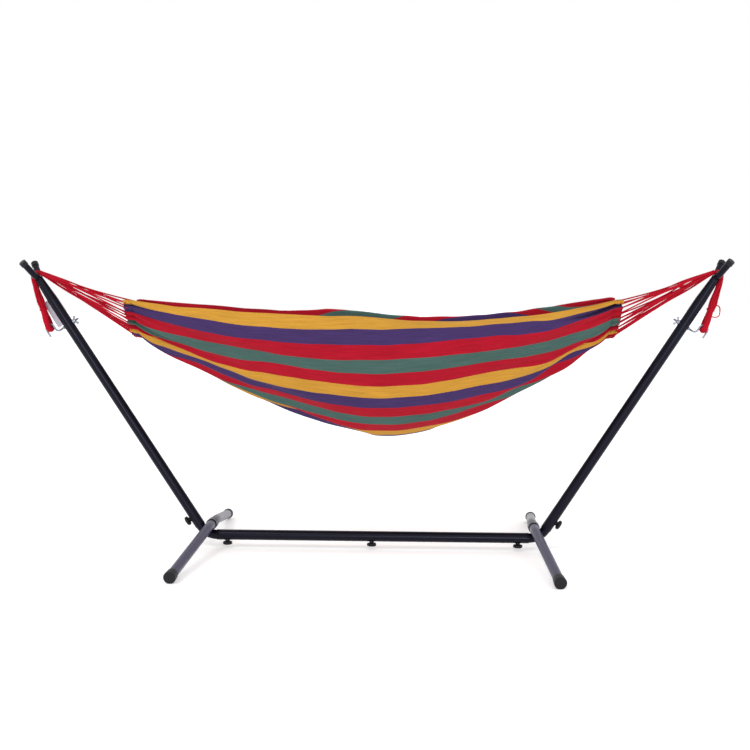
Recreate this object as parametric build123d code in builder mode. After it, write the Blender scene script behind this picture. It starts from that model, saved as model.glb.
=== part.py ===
from build123d import *
import math
import os

# Free-standing steel hammock stand with a cloth hammock hung in its two forks.
# Millimetres. X runs along the stand, Y across it and Z up. The origin is on the
# floor, midway between the four feet. Right is +X and front is -Y.

# ---- Driving dimensions: stand --------------------------------------------
CORNER_X = 676.0            # arm axis meets beam axis, measured from the middle
BEAM_Z = 52.0               # height of the beam's axis
ARM_ANGLE = 57.2            # arm's rise above the floor, degrees
OUTER_R = 21.0              # outer tubes: beam halves and arms
OUTER_WALL = 1.5
INNER_R = 19.0              # elbows and the beam's inner sleeve slide inside them
INNER_WALL = 1.5
ELBOW_BEND_R = 80.0
TUBE_END = 44.0             # outer tubes stop this far from the corner
STUB_END = 128.0            # elbow stubs reach this far inside the outer tubes
ARM_END = 1240.0            # arm's top end, from the corner along its axis
ARM_TAPER = 105.0           # the arm's top is drawn in over this length
ARM_TOP_R = 15.5
KNOB_ALONG = 87.0           # knobs beside each elbow, from the corner
SEAM_X = 45.0               # where the two beam halves meet
SLEEVE_FROM = -58.0
SLEEVE_TO = 150.0

# ---- Driving dimensions: feet ---------------------------------------------
FOOT_R = 19.0
FOOT_WALL = 1.5
FOOT_FLAT_Y = 75.0          # half of the foot's straight middle
FOOT_END_Y = 545.0
FOOT_END_Z = 22.0           # height of the foot's axis at its two ends
FOOT_BEND_R = 300.0
COLLAR_R = 22.5
COLLAR_BORE_R = 19.3
COLLAR_LENGTH = 42.0
COLLAR_SINK = 0.6           # how far the collar's saddle bites into the elbow
CAP_R = 23.0
CAP_SLEEVE_R = 21.6
CAP_COVER = 30.0            # length of foot tube inside the cap
CAP_NOSE = 7.0              # thickness of the cap's closed end
CAP_ROUND = 3.8
CAP_EASE = 0.05             # caps' bores are this much larger than their tubes

# ---- Driving dimensions: forks --------------------------------------------
FORK_R = 12.5
FORK_WALL = 1.5
FORK_BOTTOM = 1240.0        # lowest point of the fork's axis, along the arm
FORK_BEND_R = 30.0
FORK_HALF_ANGLE = 33.25     # each prong's lean from the arm's axis, degrees
FORK_TIP_RISE = 73.0        # prong ends above the fork's bottom, along the arm
FORK_CAP_R = 14.5
FORK_CAP_COVER = 16.0
FORK_CAP_TOP = 3.0
FORK_CAP_ROUND = 1.8

# ---- Driving dimensions: fastenings ---------------------------------------
STUD_R = 4.0
STUD_HOLE_R = 4.4
STUD_REACH = 12.0           # stud's length inside the outer tube's surface
STUD_IN_HEAD = 11.0
STUD_CHAMFER = 0.8
KNOB_BORE_R = 4.35
KNOB_BORE_REST = 0.5        # bore's clearance past the stud's outer end
KNOB_NECK_R = 10.0
KNOB_WAIST_R = 8.5
KNOB_WAIST_LOW = 2.5
KNOB_WAIST_HIGH = 4.2
KNOB_NECK = 7.0
KNOB_DISC_R = 19.0
KNOB_DISC = 11.0
KNOB_RIM = 2.0              # slope under the disc's rim
KNOB_CROWN = 4.0            # the outer face's rounded edge
KNOB_GAP = 0.4              # knob neck's clearance over the tube
GRIP_COUNT = 12
GRIP_R = 2.6                # flutes round the disc
GRIP_OFFSET = 1.6           # flute axes outside the disc's rim
NUT_EASE = 0.1              # welded nut's bore over the stud
WELD_NUT_R = 7.5
WELD_NUT_THICK = 4.7
HOOK_ALONG = 1018.0
HOOK_ROD_R = 4.0
HOOK_INNER = 46.0           # threaded shank's end, inside the arm's axis
HOOK_SHANK = 57.0           # shank's bend, outside the arm's axis
HOOK_ARCH = 44.0            # top of the arch above the shank
HOOK_GAP = 34.0             # between the axes of the hook's two legs
HOOK_BEND_R = 16.0
HOOK_TIP = -2.0             # outer leg's end, above the shank
HOOK_EASE = 0.35            # hook's clearance in the arm, washer and wing nut
WASHER_R = 10.5
WASHER_THICK = 1.6
WASHER_GAP = 0.3
LOCK_NUT_R = 7.5
LOCK_NUT_THICK = 6.5
WING_BASE_R = 8.2
WING_HUB_R = 6.2
WING_HUB = 9.0
WING_ROOT = 3.0             # wings start this far from the nut's axis
WING_SPAN = 17.5
WING_TIP_IN = 16.1
WING_CROWN = 10.5
WING_LOW = 7.2              # wing tips' outer edge, above the nut's base
WING_RISE = 16.0
WING_BULGE = 2.0
WING_SINK = 1.5             # wings' lower edge inside the hub
WING_THICK = 3.2

# ---- Driving dimensions: hammock ------------------------------------------
CLOTH = 4.0                 # thickness of the solid that stands for the cloth
BED_TOP_X = 943.0           # bed's end at its upper corners
BED_LOW_X = 925.0           # bed's end at its lowest line
BED_TOP_Z = 950.0           # side edges at mid-length
BED_TOP_LIFT = 58.0         # side edges rise this much towards the hems
BED_LOW_Z = 464.0           # lowest line at mid-length
BED_FALL = 500.0            # fall of the lowest line from a hem, were it straight
BED_SAG_R = 160.0           # how softly the lowest line rounds at mid-length
BED_END_LIFT = 25.0         # the lowest line turns up this much at the hems
BED_END_POWER = 20          # and only close to them
BED_LEAN = 65.0             # the lowest point's distance to the right of the middle
BED_MID_HALF = 450.0        # half the opening's width at mid-length
BED_END_HALF = 105.0        # half the opening's width at the hems
BED_STATIONS = 12
HEM_LENGTH = 34.0
HEM_THICK = 9.0
CORD_COUNT = 18             # suspension cords at each end
CORD_R = 2.8
CORD_START = 3.4            # cord's clear distance from the hem
GATHER_REACH = 128.0        # where the cords draw together, from the pivot
GATHER_LENGTH = 114.0
GATHER_AIM = 0.55           # the gather points at this share of the hem's depth
GATHER_HALF_WIDTH = 29.0
GATHER_HALF_HEIGHT = 19.0
GATHER_NECK_R = 8.4
GATHER_BALL_R = 9.0
PIVOT_RISE = 24.0           # pivot's distance from the fork's bottom axis
PIVOT_ANGLE = 116.0

# ---- Driving dimensions: tail ropes ---------------------------------------
TAIL_R = 10.0
TAIL_GAP = 0.6              # tail's clearance over the fork
TAIL_START = 0.5            # the next four are measured from the fork's bottom axis
TAIL_CREST = 12.0
TAIL_BRINK = 28.0
TAIL_BRINK_RISE = 3.5
TAIL_BEND_R = 20.0          # the tail bends round the fork's tube
EYE_R = 12.0
EYE_HALF = 17.2             # half the distance between the eye's two legs
EYE_BEND_R = 17.0
EYE_LEG = 31.0
EYE_OPEN = 12.0             # where the eye reaches its full width
EYE_GAP = 1.0               # eye's clearance under the hook's arch
NECK_LEG_HALF = 12.3        # half the distance between the legs where they leave the neck
NECK_LENGTH = 40.0
NECK_TOP_R = 14.0
NECK_LOW_HALF = 24.5        # the neck spreads to an oval over the two legs
NECK_LOW_R = 14.0
TIE_CORD_R = 2.4
TIE_BEND_R = 17.0
TIE_ROOT = -14.0            # the loop's ends, inside the neck, from the fork's bottom axis
TIE_OUT = 18.0              # the loop's outer side
TIE_HIGH = -109.0
TIE_LOW = -154.0
TAG_WIDTH = 30.0
TAG_LENGTH = 118.0
TAG_THICK = 1.0
TAG_CORNER_R = 3.0
TAG_Y = 17.0                # the tag hangs behind the tail rope
TAG_DROP = 90.0             # tag's top edge below the fork, along the arm
TAG_OUT = 13.0              # tag's middle line outside the arm's surface

angle = math.radians(ARM_ANGLE)
rise = math.sin(angle)
run = math.cos(angle)
half_turn = angle / 2.0
outer_inner_r = OUTER_R - OUTER_WALL
inner_inner_r = INNER_R - INNER_WALL
sides = {"left": -1, "right": 1}

os.makedirs("parts", exist_ok=True)


def save(part, name):
    part.label = name
    export_step(part, f"parts/{name}.step")


def on_arm(side, along, out=0.0, y=0.0):
    """A point given along the arm's axis and out from it, away from the beam."""
    x = CORNER_X + along * run + out * rise
    z = BEAM_Z + along * rise - out * run
    return Vector(side * x, y, z)


def out_direction(side):
    """Square to the arm, outwards and downwards."""
    return Vector(side * rise, 0, -run)


def arm_direction(side):
    return Vector(side * run, 0, rise)


def across_arm(side, along, out):
    """Plane square to the arm's outward direction, its x axis along Y."""
    return Plane(origin=on_arm(side, along, out), x_dir=(0, 1, 0), z_dir=out_direction(side))


def along_arm(side, along):
    """Plane square to the arm's axis, its x axis along Y."""
    return Plane(origin=on_arm(side, along), x_dir=(0, 1, 0), z_dir=arm_direction(side))


# ---- Beam: two tubes that meet over an inner sleeve ------------------------
beam_spans = {"left": (-(CORNER_X - TUBE_END), SEAM_X), "right": (SEAM_X, CORNER_X - TUBE_END)}
beam_knob_x = {"left": -(CORNER_X - KNOB_ALONG), "right": CORNER_X - KNOB_ALONG, "middle": 0.0}

for name, (start, end) in beam_spans.items():
    knob_holes = [x for x in beam_knob_x.values() if start < x < end]
    with BuildPart() as beam_tube:
        with BuildSketch(Plane(origin=(start, 0, BEAM_Z), x_dir=(0, 1, 0), z_dir=(1, 0, 0))):
            Circle(OUTER_R)
            Circle(outer_inner_r, mode=Mode.SUBTRACT)
        extrude(amount=end - start)
        with BuildSketch(Plane.XY.offset(BEAM_Z)):
            with Locations([(x, 0) for x in knob_holes]):
                Circle(STUD_HOLE_R)
        extrude(amount=-2 * OUTER_R, mode=Mode.SUBTRACT)
    save(beam_tube.part, f"beam_tube_{name}")

with BuildPart() as beam_sleeve:
    with BuildSketch(Plane(origin=(SLEEVE_FROM, 0, BEAM_Z), x_dir=(0, 1, 0), z_dir=(1, 0, 0))):
        Circle(INNER_R)
        Circle(inner_inner_r, mode=Mode.SUBTRACT)
    extrude(amount=SLEEVE_TO - SLEEVE_FROM)
    with BuildSketch(Plane.XY.offset(BEAM_Z)):
        Circle(STUD_HOLE_R)
    extrude(amount=-2 * OUTER_R, mode=Mode.SUBTRACT)
save(beam_sleeve.part, "beam_sleeve")

# ---- Elbows, foot collars, feet and foot caps ------------------------------
# The foot crosses above the elbow on the line that halves its bend. The foot's
# arch leans with that line, so its two ends stand a little outside the corner.
elbow_offset = ELBOW_BEND_R * (1.0 / math.cos(half_turn) - 1.0)
foot_offset = elbow_offset + INNER_R + COLLAR_R - COLLAR_SINK
foot_crown_z = BEAM_Z + foot_offset * math.cos(half_turn)
foot_drop = (foot_crown_z - FOOT_END_Z) / math.cos(half_turn)
foot_slope = math.atan2(foot_drop, FOOT_END_Y - FOOT_FLAT_Y)


def foot_plane(side):
    """Plane of the foot's arch: x axis along Y, y axis up the halving line."""
    up = Vector(-side * math.sin(half_turn), 0, math.cos(half_turn))
    crown = Vector(side * CORNER_X, 0, BEAM_Z) + up * foot_offset
    return Plane(origin=crown, x_dir=(0, 1, 0), z_dir=Vector(0, 1, 0).cross(up))


def foot_end_plane(side, front):
    """Plane at a foot's end, square to its axis and facing away from it."""
    arch = foot_plane(side)
    end = arch.from_local_coords(Vector(front * FOOT_END_Y, -foot_drop, 0))
    outward = arch.x_dir * (front * math.cos(foot_slope)) - arch.y_dir * math.sin(foot_slope)
    return Plane(origin=end, x_dir=arch.z_dir, z_dir=outward)


for name, side in sides.items():
    with BuildPart() as elbow:
        with BuildLine() as elbow_path:
            FilletPolyline(
                (side * (CORNER_X - STUB_END), 0, BEAM_Z),
                (side * CORNER_X, 0, BEAM_Z),
                on_arm(side, STUB_END),
                radius=ELBOW_BEND_R,
            )
        elbow_wire = elbow_path.wires()[0]
        elbow_start = Plane(origin=elbow_wire @ 0, x_dir=(0, 1, 0), z_dir=elbow_wire % 0)
        with BuildSketch(elbow_start):
            Circle(INNER_R)
        sweep(path=elbow_wire)
        elbow_body = elbow.part
        with BuildSketch(elbow_start):
            Circle(inner_inner_r)
        sweep(path=elbow_wire, mode=Mode.SUBTRACT)
        with BuildSketch(Plane.XY.offset(BEAM_Z)):
            with Locations((side * (CORNER_X - KNOB_ALONG), 0)):
                Circle(STUD_HOLE_R)
        extrude(amount=-2 * OUTER_R, mode=Mode.SUBTRACT)
        with BuildSketch(across_arm(side, KNOB_ALONG, 0)):
            Circle(STUD_HOLE_R)
        extrude(amount=2 * OUTER_R, mode=Mode.SUBTRACT)
    save(elbow.part, f"elbow_{name}")

    arch = foot_plane(side)
    with BuildPart() as foot_collar:
        with BuildSketch(Plane(origin=arch.origin, x_dir=arch.z_dir, z_dir=(0, 1, 0))):
            Circle(COLLAR_R)
            Circle(COLLAR_BORE_R, mode=Mode.SUBTRACT)
        extrude(amount=COLLAR_LENGTH / 2, both=True)
        add(elbow_body, mode=Mode.SUBTRACT)
    save(foot_collar.part, f"foot_collar_{name}")

    with BuildPart() as foot:
        with BuildLine(arch) as foot_path:
            FilletPolyline(
                (-FOOT_END_Y, -foot_drop),
                (-FOOT_FLAT_Y, 0),
                (FOOT_FLAT_Y, 0),
                (FOOT_END_Y, -foot_drop),
                radius=FOOT_BEND_R,
            )
        with BuildSketch(foot_end_plane(side, -1)):
            Circle(FOOT_R)
            Circle(FOOT_R - FOOT_WALL, mode=Mode.SUBTRACT)
        sweep(path=foot_path.wires()[0])
    save(foot.part, f"foot_{name}")

    for end_name, front in {"front": -1, "rear": 1}.items():
        end = foot_end_plane(side, front)
        with BuildPart() as foot_cap:
            with BuildSketch(end.offset(-CAP_COVER)):
                Circle(CAP_SLEEVE_R)
            with BuildSketch(end):
                Circle(CAP_R)
            loft()
            with BuildSketch(end):
                Circle(CAP_R)
            extrude(amount=CAP_NOSE)
            nose_edge = foot_cap.edges().filter_by(GeomType.CIRCLE).sort_by(Axis(end.origin, end.z_dir))[-1]
            fillet(nose_edge, radius=CAP_ROUND)
            with BuildSketch(end.offset(-CAP_COVER)):
                Circle(FOOT_R + CAP_EASE)
            extrude(amount=CAP_COVER, mode=Mode.SUBTRACT)
            split(bisect_by=Plane.XY, keep=Keep.TOP)
        save(foot_cap.part, f"foot_cap_{name}_{end_name}")

# ---- Arms, forks and fork caps ---------------------------------------------
fork_half = math.radians(FORK_HALF_ANGLE)
fork_root = FORK_BOTTOM - FORK_BEND_R * (1.0 / math.sin(fork_half) - 1.0)
fork_tip = FORK_BOTTOM + FORK_TIP_RISE


def fork_tip_plane(side, front):
    """Plane at a prong's end, square to it and facing away from the fork."""
    outward = Vector(0, front * math.sin(fork_half), 0) + arm_direction(side) * math.cos(fork_half)
    reach = (fork_tip - fork_root) * math.tan(fork_half)
    return Plane(origin=on_arm(side, fork_tip, 0, front * reach), x_dir=out_direction(side), z_dir=outward)


for name, side in sides.items():
    front_tip = fork_tip_plane(side, -1)
    rear_tip = fork_tip_plane(side, 1)
    with BuildPart() as fork:
        with BuildLine() as fork_path:
            FilletPolyline(front_tip.origin, on_arm(side, fork_root), rear_tip.origin, radius=FORK_BEND_R)
        with BuildSketch(front_tip):
            Circle(FORK_R)
        sweep(path=fork_path.wires()[0])
        fork_body = fork.part
        with BuildSketch(front_tip):
            Circle(FORK_R - FORK_WALL)
        sweep(path=fork_path.wires()[0], mode=Mode.SUBTRACT)
    save(fork.part, f"fork_{name}")

    with BuildPart() as arm_tube:
        with BuildSketch(along_arm(side, TUBE_END)):
            Circle(OUTER_R)
            Circle(outer_inner_r, mode=Mode.SUBTRACT)
        extrude(amount=ARM_END - ARM_TAPER - TUBE_END)
        taper_foot = along_arm(side, ARM_END - ARM_TAPER)
        taper_top = along_arm(side, ARM_END)
        for shrink, mode in ((0.0, Mode.ADD), (OUTER_WALL, Mode.SUBTRACT)):
            with BuildSketch(taper_foot):
                Circle(OUTER_R - shrink)
            with BuildSketch(taper_top):
                Circle(ARM_TOP_R - shrink)
            loft(mode=mode)
        with BuildSketch(across_arm(side, KNOB_ALONG, 0)):
            Circle(STUD_HOLE_R)
        extrude(amount=2 * OUTER_R, mode=Mode.SUBTRACT)
        with BuildSketch(across_arm(side, HOOK_ALONG, 0)):
            Circle(HOOK_ROD_R + HOOK_EASE)
        extrude(amount=2 * OUTER_R, both=True, mode=Mode.SUBTRACT)
        add(fork_body, mode=Mode.SUBTRACT)
    save(arm_tube.part, f"arm_tube_{name}")

    for end_name, front in {"front": -1, "rear": 1}.items():
        tip = fork_tip_plane(side, front)
        with BuildPart() as fork_cap:
            with BuildSketch(tip.offset(-FORK_CAP_COVER)):
                Circle(FORK_CAP_R)
            extrude(amount=FORK_CAP_COVER + FORK_CAP_TOP)
            top_edge = fork_cap.edges().filter_by(GeomType.CIRCLE).sort_by(Axis(tip.origin, tip.z_dir))[-1]
            fillet(top_edge, radius=FORK_CAP_ROUND)
            with BuildSketch(tip.offset(-FORK_CAP_COVER)):
                Circle(FORK_R + CAP_EASE)
            extrude(amount=FORK_CAP_COVER, mode=Mode.SUBTRACT)
        save(fork_cap.part, f"fork_cap_{name}_{end_name}")

# ---- Knobs: plastic heads on steel studs, in nuts welded inside the tubes --
# Each plane lies on an outer tube's surface and faces out along the stud.
knob_planes = {f"arm_{name}": across_arm(side, KNOB_ALONG, OUTER_R) for name, side in sides.items()}
for name, x in beam_knob_x.items():
    underside = Vector(x, 0, BEAM_Z - OUTER_R)
    knob_planes[f"beam_{name}"] = Plane(origin=underside, x_dir=(0, 1, 0), z_dir=(0, 0, -1))
knob_height = KNOB_NECK + KNOB_DISC
crown_foot = knob_height - KNOB_CROWN
crown_r = KNOB_DISC_R - KNOB_CROWN

for name, surface in knob_planes.items():
    base = surface.offset(KNOB_GAP)
    profile = Plane(origin=base.origin, x_dir=base.x_dir, z_dir=-base.y_dir)
    with BuildPart() as knob_head:
        with BuildSketch(profile):
            with BuildLine():
                Polyline(
                    (0, knob_height),
                    (0, 0),
                    (KNOB_NECK_R, 0),
                    (KNOB_WAIST_R, KNOB_WAIST_LOW),
                    (KNOB_WAIST_R, KNOB_WAIST_HIGH),
                    (KNOB_DISC_R - KNOB_RIM, KNOB_NECK),
                    (KNOB_DISC_R, KNOB_NECK + KNOB_RIM),
                    (KNOB_DISC_R, crown_foot),
                )
                RadiusArc((KNOB_DISC_R, crown_foot), (crown_r, knob_height), -KNOB_CROWN)
                Line((crown_r, knob_height), (0, knob_height))
            make_face()
        revolve(axis=Axis(profile.origin, profile.y_dir))
        with BuildSketch(base.offset(KNOB_NECK)):
            with PolarLocations(KNOB_DISC_R + GRIP_OFFSET, GRIP_COUNT):
                Circle(GRIP_R)
        extrude(amount=KNOB_DISC, mode=Mode.SUBTRACT)
        with BuildSketch(base):
            Circle(KNOB_BORE_R)
        extrude(amount=STUD_IN_HEAD + KNOB_BORE_REST, mode=Mode.SUBTRACT)
    save(knob_head.part, f"knob_head_{name}")

    with BuildPart() as knob_stud:
        with BuildSketch(surface.offset(-STUD_REACH)):
            Circle(STUD_R)
        extrude(amount=STUD_REACH + KNOB_GAP + STUD_IN_HEAD)
        inner_edge = knob_stud.edges().sort_by(Axis(surface.origin, surface.z_dir))[0]
        chamfer(inner_edge, length=STUD_CHAMFER)
    save(knob_stud.part, f"knob_stud_{name}")

# The nuts sit against the inner tube's wall, below the outer tube's surface.
nut_top = OUTER_R - math.sqrt(inner_inner_r ** 2 - WELD_NUT_R ** 2)
weld_nuts = []
for surface in knob_planes.values():
    with BuildPart() as weld_nut:
        with BuildSketch(surface.offset(-nut_top - WELD_NUT_THICK)):
            RegularPolygon(WELD_NUT_R, 6)
            Circle(STUD_R + NUT_EASE, mode=Mode.SUBTRACT)
        extrude(amount=WELD_NUT_THICK)
    weld_nuts.append(weld_nut.part)
save(Compound(children=weld_nuts), "weld_nuts")

# ---- Hooks, their nuts and washers -----------------------------------------
leg_out = HOOK_SHANK + HOOK_GAP
washer_out = -OUTER_R - WASHER_GAP
wing_out = washer_out - WASHER_THICK - WASHER_GAP
lock_nuts = []
for name, side in sides.items():
    with BuildPart() as hook:
        with BuildLine() as hook_path:
            FilletPolyline(
                on_arm(side, HOOK_ALONG, -HOOK_INNER),
                on_arm(side, HOOK_ALONG, HOOK_SHANK),
                on_arm(side, HOOK_ALONG + HOOK_ARCH, HOOK_SHANK),
                on_arm(side, HOOK_ALONG + HOOK_ARCH, leg_out),
                on_arm(side, HOOK_ALONG + HOOK_TIP, leg_out),
                radius=HOOK_BEND_R,
            )
        with BuildSketch(across_arm(side, HOOK_ALONG, -HOOK_INNER)):
            Circle(HOOK_ROD_R)
        sweep(path=hook_path.wires()[0])
    save(hook.part, f"hook_{name}")

    with BuildPart() as lock_nut:
        with BuildSketch(across_arm(side, HOOK_ALONG, OUTER_R)):
            RegularPolygon(LOCK_NUT_R, 6)
            Circle(HOOK_ROD_R, mode=Mode.SUBTRACT)
        extrude(amount=LOCK_NUT_THICK)
    lock_nuts.append(lock_nut.part)

    with BuildPart() as hook_washer:
        with BuildSketch(across_arm(side, HOOK_ALONG, washer_out)):
            Circle(WASHER_R)
            Circle(HOOK_ROD_R + HOOK_EASE, mode=Mode.SUBTRACT)
        extrude(amount=-WASHER_THICK)
    save(hook_washer.part, f"hook_washer_{name}")

    wing_base = across_arm(side, HOOK_ALONG, wing_out)
    wing_profile = Plane(origin=wing_base.origin, x_dir=arm_direction(side), z_dir=(0, side, 0))
    wing_up = wing_profile.to_local_coords(on_arm(side, HOOK_ALONG, wing_out - 1.0)).Y
    with BuildPart() as wing_nut:
        with BuildSketch(wing_base):
            Circle(WING_BASE_R)
        with BuildSketch(wing_base.offset(-WING_HUB)):
            Circle(WING_HUB_R)
        loft()
        with BuildSketch(wing_profile):
            for way in (-1, 1):
                inner = Vector(way * WING_ROOT, wing_up * WING_SINK)
                outer = Vector(way * WING_SPAN, wing_up * WING_LOW)
                top = Vector(way * WING_TIP_IN, wing_up * WING_RISE)
                crown = Vector(way * WING_CROWN, wing_up * WING_RISE)
                root = Vector(way * WING_ROOT, wing_up * (WING_HUB - WING_SINK))
                bulge = (outer + top) * 0.5 + Vector(way * WING_BULGE, 0)
                with BuildLine():
                    Line(inner, outer)
                    ThreePointArc(outer, bulge, top)
                    Polyline(top, crown, root, inner)
                make_face()
        extrude(amount=WING_THICK / 2, both=True)
        with BuildSketch(wing_base):
            Circle(HOOK_ROD_R + HOOK_EASE)
        extrude(amount=-WING_RISE, mode=Mode.SUBTRACT)
    save(wing_nut.part, f"wing_nut_{name}")
save(Compound(children=lock_nuts), "hook_lock_nuts")

# ---- Hammock bed: a thin trough whose sections are half ellipses -----------
fork_axis = {name: on_arm(side, FORK_BOTTOM) for name, side in sides.items()}
pivot_turn = math.radians(PIVOT_ANGLE)
pivots = {
    name: fork_axis[name] + Vector(side * math.cos(pivot_turn), 0, math.sin(pivot_turn)) * PIVOT_RISE
    for name, side in sides.items()
}


def bed_top(t):
    return Vector(BED_TOP_X * t, 0, BED_TOP_Z + BED_TOP_LIFT * t * t)


def bed_low(t):
    lean = BED_LEAN * (1.0 - t * t)
    rise = math.hypot(BED_FALL * t, BED_SAG_R) - BED_SAG_R + BED_END_LIFT * t ** BED_END_POWER
    return Vector(BED_LOW_X * t + lean, 0, BED_LOW_Z + rise)


def bed_half(t):
    return BED_END_HALF + (BED_MID_HALF - BED_END_HALF) * (1.0 - t * t)


def bed_plane(t):
    """Section plane at t of the half length: x axis along Y, y axis up."""
    up = (bed_top(t) - bed_low(t)).normalized()
    return Plane(origin=bed_top(t), x_dir=(0, 1, 0), z_dir=Vector(0, 1, 0).cross(up))


def trough_section(t, thickness):
    """A band of even thickness along the lower half of an ellipse."""
    half = bed_half(t)
    depth = (bed_top(t) - bed_low(t)).length
    with BuildSketch(bed_plane(t)) as section:
        with BuildLine():
            EllipticalCenterArc((0, 0), half, depth, 180, arc_size=180)
            Line((half, 0), (half - thickness, 0))
            EllipticalCenterArc((0, 0), half - thickness, depth - thickness, 180, arc_size=180)
            Line((-half + thickness, 0), (-half, 0))
        make_face()
    return section.sketch.faces()[0]


with BuildPart() as hammock_bed:
    stations = [2.0 * step / BED_STATIONS - 1.0 for step in range(BED_STATIONS + 1)]
    loft([trough_section(t, CLOTH) for t in stations], ruled=True)
save(hammock_bed.part, "hammock_bed")

# ---- Hems, suspension cords and the points where they gather ---------------
hem_depth = (bed_top(1) - bed_low(1)).length - HEM_THICK / 2
hem_half = bed_half(1) - HEM_THICK / 2
with BuildLine() as hem_curve:
    EllipticalCenterArc((0, 0), hem_half, hem_depth, 180, arc_size=180)
hem_wire = hem_curve.wires()[0]
eyelet_spots = [hem_wire @ ((index + 0.5) / CORD_COUNT) for index in range(CORD_COUNT)]

for name, side in sides.items():
    end = bed_plane(side)
    away = end.z_dir if end.z_dir.X * side > 0 else -end.z_dir
    with BuildPart() as hem:
        extrude(trough_section(side, HEM_THICK), amount=HEM_LENGTH, dir=away)
    save(hem.part, f"hem_{name}")

    cords = []
    for spot in eyelet_spots:
        eyelet = end.from_local_coords(spot) + away * HEM_LENGTH
        line = pivots[name] - eyelet
        begin = eyelet + line.normalized() * CORD_START
        with BuildPart() as cord:
            with BuildSketch(Plane(origin=begin, z_dir=line)):
                Circle(CORD_R)
            extrude(amount=line.length - CORD_START - GATHER_REACH)
        cords.append(cord.part)
    save(Compound(children=cords), f"suspension_cords_{name}")

    target = end.from_local_coords(Vector(0, -hem_depth * GATHER_AIM, 0)) + away * HEM_LENGTH
    pull = (target - pivots[name]).normalized()
    neck = Plane(origin=pivots[name], x_dir=(0, 1, 0), z_dir=pull)
    with BuildPart() as gather:
        with BuildSketch(neck):
            Circle(GATHER_NECK_R)
        with BuildSketch(neck.offset(GATHER_LENGTH)):
            Ellipse(GATHER_HALF_WIDTH, GATHER_HALF_HEIGHT)
        loft()
        with Locations(pivots[name]):
            Sphere(GATHER_BALL_R)
    save(gather.part, f"cord_gather_{name}")

# ---- Tail ropes: over the fork, down to a whipped eye on the hook ----------
bight_drop = HOOK_ROD_R + EYE_R + EYE_GAP
eye_bottom = EYE_HALF + EYE_LEG
tail_over = TAIL_R + FORK_R + TAIL_GAP
necks = {}
tails = {}
for name, side in sides.items():
    bight = on_arm(side, HOOK_ALONG + HOOK_ARCH - bight_drop, HOOK_SHANK + HOOK_GAP / 2)
    start = fork_axis[name] + Vector(side * TAIL_START, 0, tail_over)
    crest = fork_axis[name] + Vector(side * TAIL_CREST, 0, tail_over)
    brink = fork_axis[name] + Vector(side * TAIL_BRINK, 0, TAIL_BRINK_RISE)
    tight = (bight - brink).normalized()
    neck_low = bight - tight * eye_bottom
    neck_high = neck_low - tight * NECK_LENGTH
    with BuildPart() as tail_rope:
        with BuildLine() as tail_path:
            FilletPolyline(start, crest, brink, neck_high, radius=TAIL_BEND_R)
        with BuildSketch(Plane(origin=start, z_dir=crest - start)):
            Circle(TAIL_R)
        sweep(path=tail_path.wires()[0])
    tails[name] = tail_rope.part
    save(tail_rope.part, f"tail_rope_{name}")
    tail_length = tail_path.wires()[0].length
    print(f"tail_rope_{name}: length {tail_length:.1f}, bends {TAIL_BEND_R}")
    straight_volume = math.pi * TAIL_R ** 2 * tail_length
    print(f"  volume {tail_rope.part.volume:.0f}, section x length {straight_volume:.0f}")

    with BuildPart() as whipping:
        with BuildSketch(Plane(origin=neck_low, x_dir=(0, 1, 0), z_dir=-tight)):
            Ellipse(NECK_LOW_HALF, NECK_LOW_R)
        with BuildSketch(Plane(origin=neck_high, x_dir=(0, 1, 0), z_dir=-tight)):
            Circle(NECK_TOP_R)
        loft()
    necks[name] = whipping.part
    save(whipping.part, f"whipping_{name}")

    eye_plane = Plane(origin=neck_low, x_dir=(0, 1, 0), z_dir=Vector(0, 1, 0).cross(tight))
    with BuildPart() as rope_eye:
        with BuildLine(eye_plane) as eye_path:
            FilletPolyline(
                (-NECK_LEG_HALF, 0),
                (-EYE_HALF, EYE_OPEN),
                (-EYE_HALF, eye_bottom),
                (EYE_HALF, eye_bottom),
                (EYE_HALF, EYE_OPEN),
                (NECK_LEG_HALF, 0),
                radius=EYE_BEND_R,
            )
        eye_wire = eye_path.wires()[0]
        with BuildSketch(Plane(origin=eye_wire @ 0, z_dir=eye_wire % 0)):
            Circle(EYE_R)
        sweep(path=eye_wire)
        split(bisect_by=Plane(origin=neck_low, z_dir=tight), keep=Keep.TOP)
    save(rope_eye.part, f"rope_eye_{name}")

# ---- Small trim: a tie loop on the right tail and a blank tag on the left --
with BuildPart() as tie_loop:
    with BuildLine(Plane(origin=fork_axis["right"], x_dir=(1, 0, 0), z_dir=(0, -1, 0))) as tie_path:
        FilletPolyline(
            (TIE_ROOT, TIE_HIGH),
            (TIE_OUT, TIE_HIGH),
            (TIE_OUT, TIE_LOW),
            (TIE_ROOT, TIE_LOW),
            radius=TIE_BEND_R,
        )
    tie_wire = tie_path.wires()[0]
    with BuildSketch(Plane(origin=tie_wire @ 0, z_dir=tie_wire % 0)):
        Circle(TIE_CORD_R)
    sweep(path=tie_wire)
    add(necks["right"], mode=Mode.SUBTRACT)
    add(tails["right"], mode=Mode.SUBTRACT)
save(tie_loop.part.solids().sort_by(Axis.X)[-1], "tie_loop")

tag_top = on_arm(-1, FORK_BOTTOM - TAG_DROP, OUTER_R + TAG_OUT, TAG_Y)
with BuildPart() as blank_tag:
    with BuildSketch(Plane(origin=tag_top, x_dir=out_direction(-1), z_dir=(0, 1, 0))):
        with Locations((0, -TAG_LENGTH / 2)):
            RectangleRounded(TAG_WIDTH, TAG_LENGTH, TAG_CORNER_R)
    extrude(amount=TAG_THICK)
save(blank_tag.part, "blank_tag")

print("foot crown height", round(foot_crown_z, 1), "slope", round(math.degrees(foot_slope), 2))
print("pivot", [round(v, 2) for v in pivots["right"]])
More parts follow.
